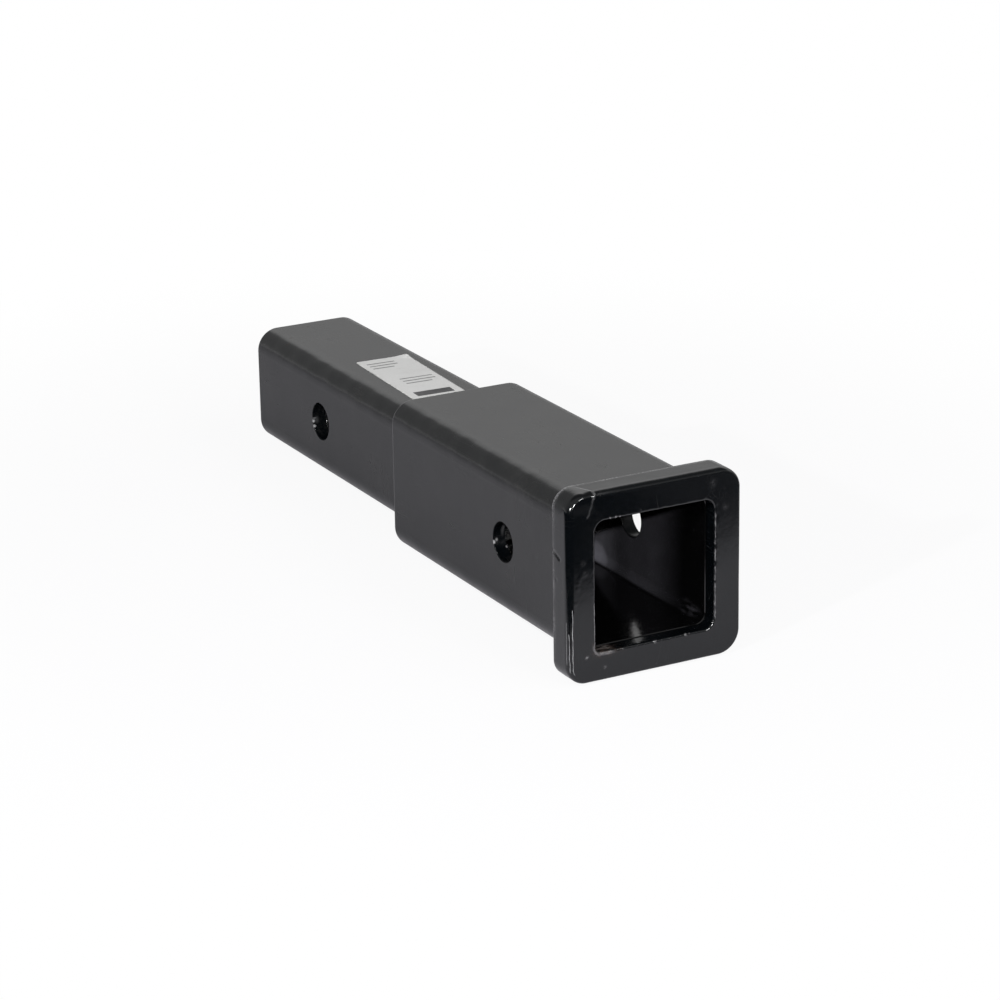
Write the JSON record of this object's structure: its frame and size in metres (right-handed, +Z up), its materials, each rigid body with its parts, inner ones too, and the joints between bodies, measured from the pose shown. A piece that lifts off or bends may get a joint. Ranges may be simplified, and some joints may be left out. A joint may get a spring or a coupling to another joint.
{
  "type": "hitch receiver extender",
  "caption": "Black powder-coated hitch extender: a square steel shank welded into a larger receiver tube, with a reinforcing collar around the mouth, cross pin holes and a blank label.",
  "frame": {"origin": "centre of the shank's pin hole, midway between the walls", "axes": "+Y from the mouth towards the shank's free end, +X along the pin holes, +Z up"},
  "size_m": [0.0762, 0.3048, 0.0762],
  "materials": {
    "black_coat": "semi-gloss black powder coat over steel",
    "label": "matt white sticker"
  },
  "bodies": {
    "root": {"shank_tube": "black_coat", "receiver_tube": "black_coat", "mouth_collar": "black_coat", "step_weld": "black_coat", "collar_weld": "black_coat", "label": "label"}
  },
  "joints": []
}
